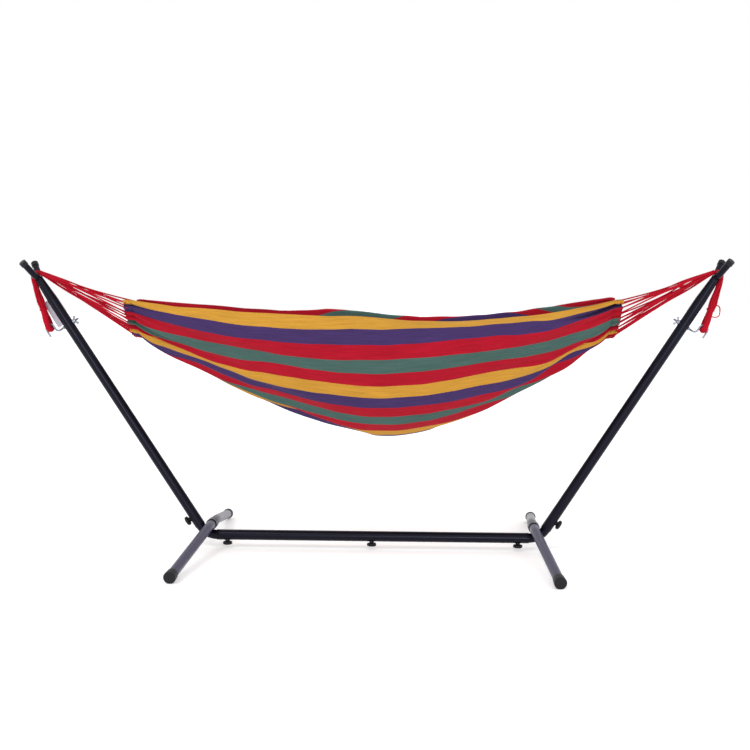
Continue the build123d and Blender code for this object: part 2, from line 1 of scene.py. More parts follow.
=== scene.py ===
import math

import bpy
import numpy as np
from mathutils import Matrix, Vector, noise


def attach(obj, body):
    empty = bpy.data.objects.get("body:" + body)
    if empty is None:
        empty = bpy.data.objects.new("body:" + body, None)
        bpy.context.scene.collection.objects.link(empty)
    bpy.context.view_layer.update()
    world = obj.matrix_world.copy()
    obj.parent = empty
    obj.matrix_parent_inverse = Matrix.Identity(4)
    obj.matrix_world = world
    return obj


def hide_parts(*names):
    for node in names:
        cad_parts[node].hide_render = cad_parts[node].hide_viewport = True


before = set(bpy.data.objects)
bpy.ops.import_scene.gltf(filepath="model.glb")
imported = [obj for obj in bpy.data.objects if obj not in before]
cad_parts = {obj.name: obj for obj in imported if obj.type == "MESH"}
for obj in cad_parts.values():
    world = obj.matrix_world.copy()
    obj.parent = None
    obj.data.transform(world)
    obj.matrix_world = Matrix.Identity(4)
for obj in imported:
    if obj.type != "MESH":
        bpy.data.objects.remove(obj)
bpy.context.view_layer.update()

# Metres. X runs along the stand, Y across it, Z up. Front is -Y.

# ---- Camera ------------------------------------------------------------------
camera_data = bpy.data.cameras.new("camera")
camera_data.sensor_width = 36.0
camera_data.lens = 50.06
camera = bpy.data.objects.new("camera", camera_data)
camera.location = (0.229, -4.1577, 1.0309)
camera.rotation_euler = (math.radians(90 - 4.4425), 0.0, math.radians(2.9638))
bpy.context.collection.objects.link(camera)
scene = bpy.context.scene
scene.camera = camera

# ---- The stand's and the hammock's lines, as in the CAD -----------------------
ARM_ANGLE = math.radians(57.2)
RUN, RISE = math.cos(ARM_ANGLE), math.sin(ARM_ANGLE)
CORNER_X, BEAM_Z = 0.676, 0.052
FORK_BOTTOM, PIVOT_RISE, PIVOT_ANGLE = 1.240, 0.024, math.radians(116)
SIDES = {"left": -1, "right": 1}
CLOTH_WIDTH, CLOTH_LENGTH = 1.5, 2.0
HEM = 0.034
CORD_COUNT, CORD_R = 18, 0.0028


def on_arm(side, along, out=0.0, y=0.0):
    """A point given along the arm's axis and out from it, away from the beam."""
    return Vector((side * (CORNER_X + along * RUN + out * RISE), y, BEAM_Z + along * RISE - out * RUN))


def bed_top(t):
    """The middle between the bed's two upper edges, t from -1 at the left hem to 1 at the right one."""
    return Vector((0.943 * t, 0.0, 0.950 + 0.058 * t * t))


def bed_low(t):
    """The bed's lowest line: a sag that leans to the right, with a lift close to the hems."""
    x = 0.925 * t + 0.065 * (1 - t * t)
    return Vector((x, 0.0, 0.304 + math.hypot(0.5 * t, 0.16) + 0.025 * t ** 20))


def bed_half(t):
    """Half of the bed's width at its top."""
    return 0.105 + 0.345 * (1 - t * t)


fork_axis = {name: on_arm(side, FORK_BOTTOM) for name, side in SIDES.items()}
pivots = {
    name: fork_axis[name]
    + Vector((side * math.cos(PIVOT_ANGLE), 0, math.sin(PIVOT_ANGLE))) * PIVOT_RISE
    for name, side in SIDES.items()
}


def line_of(points, resolution=24):
    """Points read along the open NURBS spline that has these control points."""
    curve = bpy.data.curves.new("guide", "CURVE")
    curve.dimensions = "3D"
    curve.resolution_u = resolution
    spline = curve.splines.new("NURBS")
    spline.points.add(len(points) - 1)
    for point, place in zip(spline.points, points):
        point.co = (*place, 1.0)
    spline.order_u = 3
    spline.use_endpoint_u = True
    guide = bpy.data.objects.new("guide", curve)
    bpy.context.collection.objects.link(guide)
    depsgraph = bpy.context.evaluated_depsgraph_get()
    mesh = bpy.data.meshes.new_from_object(guide.evaluated_get(depsgraph))
    line = np.array([v.co[:] for v in mesh.vertices])
    bpy.data.objects.remove(guide)
    bpy.data.curves.remove(curve)
    bpy.data.meshes.remove(mesh)
    return line


# ---- Suspension cords: eyelets in the hem to the fork -------------------------
HEM_INSET = 0.0045               # the hem's curve lies this far inside the bed's outline
EYELET_IN = 0.009                # eyelets, back from the hem's edge
GOLDEN_ANGLE = 2.399963          # spreads the cords evenly over a bundle's section
DRAW_SHARE, DRAW_MOST = 0.55, 0.0085  # how far a cord draws towards its neighbours
PACK_R, PACK_WIDER = 0.0072, 1.6      # the bundle's radius at the fork, and times this where it opens
PACK_FROM, PACK_TO = 0.120, 0.020     # the bundle lies between these distances from the pivot
CORD_PAST, CORD_LIFT = 0.0058, 0.0015  # the cords end this far past and above the pivot

hem_half, hem_depth = bed_half(1) - HEM_INSET, (bed_top(1) - bed_low(1)).length - HEM_INSET
sweep = np.linspace(0, math.pi, 2001)
hem_line = np.stack([-hem_half * np.cos(sweep), -hem_depth * np.sin(sweep)], axis=1)
hem_run = np.concatenate([[0], np.cumsum(np.linalg.norm(np.diff(hem_line, axis=0), axis=1))])


def hem_spot(share):
    """A point of the hem's curve, as (y, height), at a share of its length."""
    at = share * hem_run[-1]
    return np.array([np.interp(at, hem_run, hem_line[:, 0]), np.interp(at, hem_run, hem_line[:, 1])])


def hem_rise(height):
    """How steeply the hem climbs away from the bed at a height below its top: most at the bottom."""
    return 0.12 - 0.20 * height / hem_depth


def end_axes(side):
    """Unit directions up along a hem and squarely away from the bed."""
    up = (bed_top(side) - bed_low(side)).normalized()
    away = Vector((0, 1, 0)).cross(up)
    return up, away if away.x * side > 0 else -away


def mesh_piece(name, points, faces, body):
    """A smooth mesh that rides on a body."""
    mesh = bpy.data.meshes.new(name)
    mesh.from_pydata([tuple(p) for p in points], [], faces)
    mesh.validate()
    for polygon in mesh.polygons:
        polygon.use_smooth = True
    piece = bpy.data.objects.new(name, mesh)
    bpy.context.collection.objects.link(piece)
    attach(piece, body)
    return piece


def lay_uv(piece, across_of, along_of):
    """UVs given for each vertex."""
    layer = piece.data.uv_layers.new(name="UVMap")
    flat = np.empty((len(piece.data.loops), 2))
    indices = np.empty(len(piece.data.loops), dtype=np.int32)
    piece.data.loops.foreach_get("vertex_index", indices)
    flat[:, 0] = across_of[indices]
    flat[:, 1] = along_of[indices]
    layer.data.foreach_set("uv", flat.ravel())


def frames_along(line):
    """Tangents and two steady square directions for each point of a line."""
    line = np.asarray(line)
    tangents = np.gradient(line, axis=0)
    tangents /= np.linalg.norm(tangents, axis=1)[:, None]
    first = np.zeros_like(line)
    guess = np.array([0.0, 1.0, 0.0])
    for i, tangent in enumerate(tangents):
        guess = guess - tangent * guess.dot(tangent)
        guess /= np.linalg.norm(guess)
        first[i] = guess
    return tangents, first, np.cross(tangents, first)


def resample(line, step):
    """Even points about a step apart along a line, and how far along it each one is."""
    line = np.asarray(line)
    run = np.concatenate([[0], np.cumsum(np.linalg.norm(np.diff(line, axis=0), axis=1))])
    at = np.linspace(0, run[-1], max(3, int(run[-1] / step) + 1))
    return np.stack([np.interp(at, run, line[:, k]) for k in range(3)], axis=1), at


def ring_faces(base, rings, sides):
    """Faces of a closed tube whose vertices lie ring by ring from a base index on."""
    faces = []
    for here in range(base, base + (rings - 1) * sides, sides):
        after = here + sides
        for k in range(sides):
            faces.append((here + k, here + (k + 1) % sides, after + (k + 1) % sides, after + k))
    faces.append(tuple(base + k for k in reversed(range(sides))))
    faces.append(tuple(base + (rings - 1) * sides + k for k in range(sides)))
    return faces


def grid_faces(rows, columns):
    """Faces of a sheet whose vertices lie row by row."""
    faces = []
    for i in range(rows - 1):
        for j in range(columns - 1):
            here = i * columns + j
            faces.append((here, here + 1, here + columns + 1, here + columns))
    return faces


def tube_mesh(lines, radius, sides=7):
    """Vertices and faces of plain tubes along several lines, with closed ends."""
    points, faces = [], []
    ring = np.linspace(0, 2 * math.pi, sides, endpoint=False)
    for line in lines:
        _, first, second = frames_along(line)
        base = len(points)
        for centre, a, b in zip(line, first, second):
            for angle in ring:
                points.append(centre + radius * (math.cos(angle) * a + math.sin(angle) * b))
        faces += ring_faces(base, len(line), sides)
    return points, faces


UV_LENGTH = 0.6                  # metres of cord in one unit of its UV


def smooth_cord(name, route, radius, body, sides=8):
    """A round cord along the spline of a route, its UV running along it for the twist."""
    line, at = resample(line_of(route), 0.006)
    points, faces = tube_mesh([line], radius, sides)
    piece = mesh_piece(name, points, faces, body)
    lay_uv(piece, np.repeat(at / UV_LENGTH, sides), np.tile(np.arange(sides) / sides, len(line)))
    return piece, line


cords = []
for name, side in SIDES.items():
    up, away = end_axes(side)
    for index in range(CORD_COUNT):
        y, height = hem_spot((index + 0.5) / CORD_COUNT)
        out = HEM - EYELET_IN
        climb = height + out * hem_rise(height)
        eyelet = bed_top(side) + Vector((0, y, 0)) + up * climb + away * out
        pivot = pivots[name]
        run = pivot - eyelet
        # Cords of one third of the hem draw towards that third's middle cord.
        third = hem_spot((index // 3 * 3 + 1.5) / CORD_COUNT)
        pull = Vector((0, third[0] - y, 0)) + up * (third[1] - height)
        drawn = pull
        if pull.length > 0.001:
            drawn = pull.normalized() * min(pull.length * DRAW_SHARE, DRAW_MOST)
        turn = index * GOLDEN_ANGLE
        spread = PACK_R * math.sqrt((index + 0.5) / CORD_COUNT)
        across = run.normalized().cross(Vector((0, 1, 0))).normalized()
        packed = Vector((0, math.cos(turn), 0)) * spread + across * math.sin(turn) * spread
        far = pivot + Vector((side * CORD_PAST, 0, CORD_LIFT))
        # Drawn together a little past the hem, then packed into one bundle that ends in the fork.
        route = [
            eyelet,
            eyelet + run * 0.22 + drawn * 0.7,
            eyelet + run * 0.55 + drawn,
            pivot - run.normalized() * PACK_FROM + packed * PACK_WIDER,
            pivot - run.normalized() * PACK_TO + packed,
            far + packed,
        ]
        cord, cord_line = smooth_cord(f"cord_{name}_{index + 1:02d}", route, CORD_R, "hammock")
        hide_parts(f"suspension_cords_{name}", f"cord_gather_{name}")
        cords.append(cord)

# ---- Tail ropes: the bundle goes over the fork and down to an eye on the hook --
HOOK_ALONG, HOOK_ARCH, HOOK_SHANK, HOOK_GAP = 1.018, 0.044, 0.057, 0.034
EYE_HALF, EYE_LEG, NECK_LENGTH = 0.0172, 0.031, 0.040
TAIL_OVER, TAIL_DIAMETER, TAIL_STRAND_R = 0.0231, 0.026, 0.0026
TAIL_START, TAIL_CREST, TAIL_BRINK, BRINK_RISE = 0.0005, 0.012, 0.028, 0.0035
BIGHT_IN = 0.017                 # the rope's loop lies this far inside the hook's arch
TAIL_TURN, TAIL_WANDER = 0.7, 0.25
WOUND_PITCH, WOUND_GROOVE, WOUND_SIDES, WOUND_STEP = 0.0042, 0.0012, 36, 0.0008
WHIP_HALF_WIDTHS = [0.0139, 0.0126, 0.0134, 0.0138]
WHIP_HALF_DEPTHS = [0.0139, 0.0165, 0.0215, 0.0243]
KNOT_R, KNOT_CORD_R, KNOT_PITCH = 0.0142, 0.0024, 0.0006
EYE_ROPE_R, EYE_FOOT_HALF = 0.0118, 0.0123


def fan_share(share):
    """The tail's half width and half depth along it: narrow over the fork, wide above its tie."""
    places = [0, 0.2, 0.45, 0.8, 0.93, 1.0]
    width = np.interp(share, places, [0.0080, 0.0080, 0.0105, 0.0150, 0.0135, 0.0115])
    depth = np.interp(share, places, [0.0080, 0.0080, 0.0085, 0.0105, 0.0110, 0.0115])
    return width, depth


def tail_strands(name, route, body):
    """The cords of one end as a bundle: over the fork, fanned out, drawn in again at the tie."""
    line, at = resample(line_of(route), 0.004)
    _, first, second = frames_along(line)
    share = at / at[-1]
    width, depth = fan_share(share)
    strands = []
    for index in range(CORD_COUNT):
        reach = math.sqrt((index + 0.6) / CORD_COUNT)
        wander = TAIL_WANDER * np.sin(2 * math.pi * (1.4 * share + index * 0.37))
        angle = index * GOLDEN_ANGLE + TAIL_TURN * share + wander
        deep, wide = depth * reach * np.cos(angle), width * reach * np.sin(angle)
        strands.append(line + deep[:, None] * first + wide[:, None] * second)
    points, faces = tube_mesh(strands, TAIL_STRAND_R)
    return mesh_piece(name, points, faces, body), line


def wound_tube(name, line, widths, depths, body):
    """A tube wound round with cord: one shallow groove runs round it in a helix."""
    line, at = resample(line, WOUND_STEP)
    share = at / at[-1]
    _, first, second = frames_along(line)
    width = np.interp(share, np.linspace(0, 1, len(widths)), widths)
    depth = np.interp(share, np.linspace(0, 1, len(depths)), depths)
    turn = 2 * math.pi * np.arange(WOUND_SIDES) / WOUND_SIDES
    points = []
    for centre, a, b, w, d, run in zip(line, first, second, width, depth, at):
        groove = np.abs(np.sin(math.pi * (run / WOUND_PITCH - np.arange(WOUND_SIDES) / WOUND_SIDES)))
        reach = 1 - WOUND_GROOVE / max(w, d) * (1 - groove) ** 1.3
        for angle, r in zip(turn, reach):
            points.append(centre + d * r * math.cos(angle) * a + w * r * math.sin(angle) * b)
    return mesh_piece(name, points, ring_faces(0, len(line), WOUND_SIDES), body)


tails = []
across = Vector((0, 1, 0))
for name, side in SIDES.items():
    bight = on_arm(side, HOOK_ALONG + HOOK_ARCH - BIGHT_IN, HOOK_SHANK + HOOK_GAP / 2)
    start = fork_axis[name] + Vector((side * TAIL_START, 0, TAIL_OVER))
    crest = fork_axis[name] + Vector((side * TAIL_CREST, 0, TAIL_OVER))
    brink = fork_axis[name] + Vector((side * TAIL_BRINK, 0, BRINK_RISE))
    tight = (bight - brink).normalized()
    neck_low = bight - tight * (EYE_HALF + EYE_LEG)
    neck_high = neck_low - tight * NECK_LENGTH
    tie_spot = neck_high + tight * 0.004
    tail, tail_line = tail_strands(f"tail_{name}", [start, crest, brink, tie_spot], "stand")

    neck_line = [tuple(neck_high - tight * 0.001), tuple(neck_low + tight * 0.002)]
    whipping = wound_tube(f"whip_{name}", neck_line, WHIP_HALF_WIDTHS, WHIP_HALF_DEPTHS, "stand")
    side_out = across.cross(tight) * side
    knot_line = []
    for a in np.linspace(-0.3, 2 * math.pi + 0.5, 60):
        spoke = math.cos(a) * side_out + math.sin(a) * across
        knot_line.append(tuple(tie_spot + spoke * KNOT_R + tight * (KNOT_PITCH * a)))
    knot_points, knot_faces = tube_mesh([np.array(knot_line)], KNOT_CORD_R, 8)
    knot = mesh_piece(f"knot_{name}", knot_points, knot_faces, "stand")

    # The eye: down one leg, round the hook, and up the other leg.
    eye_route = [neck_low + across * over + tight * down for over, down in (
        (-EYE_FOOT_HALF, -0.002), (-EYE_HALF, 0.010), (-EYE_HALF, 0.031), (-EYE_HALF, 0.050),
        (EYE_HALF, 0.050), (EYE_HALF, 0.031), (EYE_HALF, 0.010), (EYE_FOOT_HALF, -0.002),
    )]
    eye = wound_tube(f"eye_{name}", line_of(eye_route), [EYE_ROPE_R], [EYE_ROPE_R], "stand")
    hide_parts(f"tail_rope_{name}")
    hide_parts(f"whipping_{name}")
    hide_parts(f"rope_eye_{name}")
    tails += [tail, whipping, knot, eye]

# ---- Tie loop: a thin cord tied in a loop on the right tail ---------------------
root = fork_axis["right"]
TIE_R = 0.0024
tie_route = [root + Vector((x, 0, z)) for x, z in (
    (-0.014, -0.109), (0.004, -0.107), (0.018, -0.112), (0.020, -0.132),
    (0.017, -0.151), (0.002, -0.156), (-0.014, -0.152),
)]
tie, tie_line = smooth_cord("tie_cord", tie_route, TIE_R, "stand")
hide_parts("tie_loop")

# ---- Cloth bed: a flat cut gathered at both hems ---------------------------------
STRIPES = 25
ACROSS, ALONG = 480, 160
FOLDS_HEM, FOLDS_MID, FOLDS_LONG = 18, 13, 6
ROUNDNESS = 1.6          # 2 is an ellipse, 1 a plain V
EDGE_ROLL, EDGE_ROLL_LENGTH = 0.070, 0.090
FRONT_SINK_LENGTH, REAR_SINK_LENGTH = 0.05, 0.15
FLAP_TURN_R, FLAP_TURN_MORE = 0.007, 0.006  # the rear flap's turn over the edge, tighter at the hems
RIPPLE = 0.006

across_share = np.linspace(0, 1, ACROSS + 1)
across_path = np.linspace(0, 1, 1201)
cloth_v = across_share * CLOTH_WIDTH


def smooth_noise(t, frequency, stretch, seed):
    """Even noise over the cloth at t, the same each run."""
    return np.array([noise.noise(Vector((v * frequency, t * stretch, seed * 7.3))) for v in cloth_v])


def overhang(t):
    """How far the rear edge flops over, outwards and down, at t."""
    near = t + np.linspace(-0.11, 0.11, 9)
    lengths = np.interp(near, [-1, -0.36, -0.23, -0.02, 0.08, 0.3, 0.6, 0.8, 1],
                        [0, 0, 0.064, 0.085, 0.120, 0.185, 0.16, 0.02, 0])
    return float(lengths.mean())


def section_path(t):
    """The cloth's line across the bed at t, front edge to rear, as (y, height) and the run along it."""
    half, depth = bed_half(t), (bed_top(t) - bed_low(t)).length
    power = 2 / (ROUNDNESS + 0.4 * abs(t) ** 3)
    y = -half * np.sign(np.cos(sweep)) * np.abs(np.cos(sweep)) ** power
    height = -depth * np.sin(sweep) ** power
    run = np.concatenate([[0], np.cumsum(np.hypot(np.diff(y), np.diff(height)))])
    # Both side edges lean in a little, away from the hems.
    calm = (1 - t * t) ** 1.2
    y = y + EDGE_ROLL * calm * np.clip(1 - run / EDGE_ROLL_LENGTH, 0, 1) ** 1.5
    # Right of the middle both edges sink: the front one curls in, the flap weighs the rear one down.
    front_sink = np.interp(t, [-0.1, 0.05, 0.2, 0.36, 0.52, 0.64, 0.76, 0.9, 1],
                           [0, 0.005, 0.016, 0.024, 0.024, 0.020, 0.012, 0.006, 0])
    rear_sink = np.interp(t, [-0.15, 0, 0.1, 0.2, 0.5, 0.64, 0.76, 0.9, 1],
                          [0, 0.014, 0.026, 0.034, 0.034, 0.028, 0.020, 0.008, 0])
    front = np.clip(1 - run / FRONT_SINK_LENGTH, 0, 1) ** 1.5
    rear = np.clip(1 - (run[-1] - run) / REAR_SINK_LENGTH, 0, 1) ** 1.5
    y = y + 1.5 * front_sink * front
    height = height - front_sink * front - rear_sink * rear
    hang = overhang(t)
    if hang > 0.001:
        turn_r = min(FLAP_TURN_R + FLAP_TURN_MORE * calm, 0.8 * hang / math.pi)
        arc = np.linspace(0, math.pi, 40)
        arc_y = y[-1] + turn_r * (1 - np.cos(arc))
        arc_height = height[-1] + turn_r * np.sin(arc)
        down = np.linspace(0, max(hang - math.pi * turn_r, 0.001), 120)[1:]
        lean = 0.10 * depth * (down / 0.2) ** 2
        y = np.concatenate([y, arc_y[1:], arc_y[-1] + lean * 0.3 - 0.05 * down])
        height = np.concatenate([height, arc_height[1:], arc_height[-1] - down])
    run = np.concatenate([[0], np.cumsum(np.hypot(np.diff(y), np.diff(height)))])
    return y, height, run


def spare_share(t):
    """Where the spare width goes: little on the front side, most along the bottom and the rear."""
    middle = np.interp(across_path, [0, 0.34, 0.46, 0.58, 0.78, 1],
                       [0.32, 0.42, 1.5, 1.8, 1.3, 0.9])
    # Each hem is gathered in its own way: some stripes lie open there and others are drawn up.
    if t < 0:
        hem = np.interp(across_path, [0, 0.05, 0.06, 0.22, 0.24, 0.27, 0.29, 0.41, 0.46, 1],
                        [0.8, 0.8, 0.24, 0.26, 1.0, 1.05, 0.36, 0.36, 1.35, 1.35])
    else:
        hem = np.interp(across_path, [0, 0.06, 0.08, 0.27, 0.29, 0.34, 0.38, 1],
                        [1.0, 1.2, 0.14, 0.16, 0.8, 0.9, 1.25, 1.25])
    near = min(max((abs(t) - 0.45) / 0.45, 0.0), 1.0)
    near = near * near * (3 - 2 * near)
    share = middle / middle.mean() * (1 - near) + hem / hem.mean() * near
    return share / share.mean()


def gathered(t):
    """Path share at each point across the cloth, and how much cloth lies on each bit of path."""
    y, height, run = section_path(t)
    ratio = CLOTH_WIDTH / run[-1]
    density = np.maximum(1 + (ratio - 1) * spare_share(t), 0.6)
    cloth = np.concatenate([[0], np.cumsum((density[1:] + density[:-1]) / 2)])
    cloth /= cloth[-1]
    share = np.interp(across_share, cloth, across_path)
    local = ratio * np.interp(share, across_path, density / density.mean())
    return y, height, run, share, local


def cloth_row(t, beyond=0.0, lift=0.0):
    """One row of the cloth across the bed, folded to keep its cut width.

    t runs from -1 to 1, beyond is how far past the bed's end the row lies, and lift is how far
    outside the cloth's own surface.
    """
    end = abs(t)
    y, height, run, share, local = gathered(t)
    at = share * run[-1]
    base = np.stack([np.interp(at, run, y), np.interp(at, run, height)], axis=1)
    slope = np.gradient(base, axis=0)
    slope /= np.maximum(np.linalg.norm(slope, axis=1), 1e-9)[:, None]
    outward = np.stack([slope[:, 1], -slope[:, 0]], axis=1)
    spare = np.sqrt(np.maximum(np.clip(local, 1.0, 4.6) ** 2 - 1, 0))
    hem_share = np.clip((end - 0.62) / 0.38, 0, 1) ** 1.4
    mid_share = np.clip(1 - abs(end - 0.66) / 0.5, 0, 1) * (1 - hem_share)
    long_share = np.clip(1 - hem_share - mid_share * 0.6, 0, 1)
    total = math.sqrt(hem_share ** 2 + mid_share ** 2 + long_share ** 2) + 1e-9
    offset = np.zeros(ACROSS + 1)
    for count, weight, seed, drift, inwards in (
        (FOLDS_HEM, hem_share, 1, 0.5, 1.0),
        (FOLDS_MID, mid_share, 2, 2.2, 0.6),
        (FOLDS_LONG, long_share, 3, 3.0, 0.6),
    ):
        if weight <= 0:
            continue
        wander = smooth_noise(t, 2.4, 1.3, seed)
        fade = 1.0 - end ** 6 if count == FOLDS_HEM else 1.0
        phase = 2 * math.pi * count * share + drift * fade * wander * 2.0
        uneven = 0.8 + 0.45 * smooth_noise(t, 3.5, 0.9, seed + 5)
        # Folds go inwards only: the hem's outer ridges are where its cords leave.
        wave = -np.cos(phase) - inwards
        depth = run[-1] / count / (2 * math.pi) * 1.27 * spare
        offset += uneven * weight / total * wave * depth
    edge = np.minimum(across_share, 1 - across_share)
    offset *= 0.15 + 0.85 * np.clip(edge / 0.05, 0, 1)
    # Folds stay low between the hems and the middle, and the rear flap hangs flat.
    offset *= 1 - 0.45 * (1 - hem_share)
    offset *= 1 - (1 - hem_share) * np.clip((share - 0.72) / 0.12, 0, 1)
    folded = base + outward * offset[:, None]
    tangent = np.gradient(folded, axis=0)
    tangent /= np.maximum(np.linalg.norm(tangent, axis=1), 1e-9)[:, None]
    folded = folded + np.stack([tangent[:, 1], -tangent[:, 0]], axis=1) * lift
    up = (bed_top(t) - bed_low(t)).normalized()
    origin = bed_top(t)
    if beyond:
        up, away = end_axes(1 if t > 0 else -1)
        origin = origin + away * beyond
        folded[:, 1] += beyond * hem_rise(folded[:, 1])
    sideways = folded[:, :1] * np.array([[0.0, 1.0, 0.0]])
    return np.array(origin)[None, :] + sideways + folded[:, 1:] * np.array(up)[None, :]


# Rows from hem to hem: the last ones run straight out past the bed's ends.
rows, row_share = [], []
inner = np.linspace(-1, 1, ALONG - 7)
outer_steps = np.linspace(1, 0, 5)[:-1] * (HEM - 0.001)
for step in outer_steps:
    rows.append(cloth_row(-1.0, step))
    row_share.append(-1 - step)
for t in inner:
    rows.append(cloth_row(t))
    row_share.append(t)
for step in outer_steps[::-1]:
    rows.append(cloth_row(1.0, step))
    row_share.append(1 + step)
rows = np.array(rows)
count_along, count_across = rows.shape[:2]

# Away from the hems the whole surface ripples a little.
row_share = np.array(row_share)
calm = np.clip(1 - np.abs(row_share), 0, 1)
for i in range(count_along):
    if calm[i] <= 0:
        continue
    ripple = smooth_noise(row_share[i], 3.2, 4.0, 9) + 0.4 * smooth_noise(row_share[i], 9.0, 11.0, 11)
    for axis in (1, 2):
        rows[i, :, axis] += ripple * RIPPLE * min(1, calm[i] * 5)

bed = mesh_piece("cloth_bed", rows.reshape(-1, 3), grid_faces(count_along, count_across), "hammock")
row_steps = np.linalg.norm(np.diff(rows.mean(axis=1), axis=0), axis=1)
along_cut = np.concatenate([[0], np.cumsum(row_steps)])
along_cut = along_cut / along_cut[-1]
lay_uv(bed, np.tile(across_share, count_along), np.repeat(along_cut, count_across))

# ---- Hems: the cloth's ends turned back on themselves -----------------------------
# The turned hem's outline, as pairs of distance past the bed's end and distance from the cloth's middle.
hem_profile = [
    (0.0010, 0.0006), (0.0050, 0.0013), (0.0075, 0.0011), (0.0100, 0.0014), (0.0270, 0.0016),
    (HEM - 0.0015, 0.0013), (HEM, 0.0), (HEM - 0.0015, -0.0013), (0.0270, -0.0016), (0.0100, -0.0014),
    (0.0050, -0.0013), (0.0010, -0.0006),
]
EYELET_R, EYELET_THREAD_R, EYELET_SPOKES, EYELET_SIDES = 0.0034, 0.0009, 14, 6
hems = []
for name, side in SIDES.items():
    strips = []
    pucker = smooth_noise(side * 4.0, 15.0, 1.0, 0.5)
    path_share = gathered(float(side))[3]
    up, away = end_axes(side)
    for beyond, lift in hem_profile:
        row = cloth_row(float(side), beyond, lift)
        scallop = 0.0035 * (1 + np.cos(2 * math.pi * CORD_COUNT * path_share))
        shift = (pucker * 0.007 - 0.003 - scallop) * (beyond / HEM) ** 2
        strips.append(row + np.array(away)[None, :] * shift[:, None])
    faces = grid_faces(len(hem_profile), count_across)
    hem = mesh_piece(f"hem_band_{name}", np.array(strips).reshape(-1, 3), faces, "hammock")
    profile_share = np.linspace(0, 1, len(hem_profile))
    lay_uv(hem, np.tile(across_share, len(hem_profile)), np.repeat(profile_share, count_across))
    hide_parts(f"hem_{name}")
    hems.append(hem)

    # Worked eyelets where the cords leave the hem.
    ring_points, eyelet_faces = [], []
    edge = cloth_row(float(side), HEM - 0.011, 0.0017)
    edge_in = cloth_row(float(side), HEM - 0.011, 0.0)
    for index in range(CORD_COUNT):
        j = int(np.argmin(np.abs(path_share - (index + 0.5) / CORD_COUNT)))
        centre, normal = edge[j], edge[j] - edge_in[j]
        normal = normal / np.linalg.norm(normal)
        a = np.array(away)
        b = np.cross(normal, a)
        base = len(ring_points)
        for u in range(EYELET_SPOKES):
            angle = 2 * math.pi * u / EYELET_SPOKES
            spoke = math.cos(angle) * a + math.sin(angle) * b
            for w in range(EYELET_SIDES):
                turn = 2 * math.pi * w / EYELET_SIDES
                reach = EYELET_R + EYELET_THREAD_R * math.cos(turn)
                ring_points.append(centre + spoke * reach + normal * EYELET_THREAD_R * math.sin(turn))
        for u in range(EYELET_SPOKES):
            here, after = base + u * EYELET_SIDES, base + (u + 1) % EYELET_SPOKES * EYELET_SIDES
            for w in range(EYELET_SIDES):
                beside = (w + 1) % EYELET_SIDES
                eyelet_faces.append((here + w, after + w, after + beside, here + beside))
    eyelets = mesh_piece(f"eyelets_{name}", ring_points, eyelet_faces, "hammock")
    hems.append(eyelets)

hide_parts("hammock_bed")

# ---- Blank tag behind the left tail -------------------------------------------------
TAG_WIDTH, TAG_LENGTH = 0.030, 0.118
TAG_ROWS, TAG_COLUMNS = 28, 10
tag_points = []
tag_down = -Vector((-RUN, 0, RISE))
tag_out = Vector((-RISE, 0, -RUN))
tag_top = on_arm(-1, FORK_BOTTOM - 0.090, 0.021 + 0.013, 0.0175)
for i in range(TAG_ROWS + 1):
    for j in range(TAG_COLUMNS + 1):
        down, over = TAG_LENGTH * i / TAG_ROWS, TAG_WIDTH * (j / TAG_COLUMNS - 0.5)
        bow = 0.0022 * math.sin(i / TAG_ROWS * 5.0 + 0.6)
        cup = 0.0016 * (over / 0.015) ** 2 * math.sin(i / TAG_ROWS * 3.0)
        out = Vector((0, 0.0015 + bow + cup, 0))
        tag_points.append(tag_top + tag_down * down + tag_out * over + out)
tag = mesh_piece("tag_cloth", tag_points, grid_faces(TAG_ROWS + 1, TAG_COLUMNS + 1), "stand")
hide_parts("blank_tag")


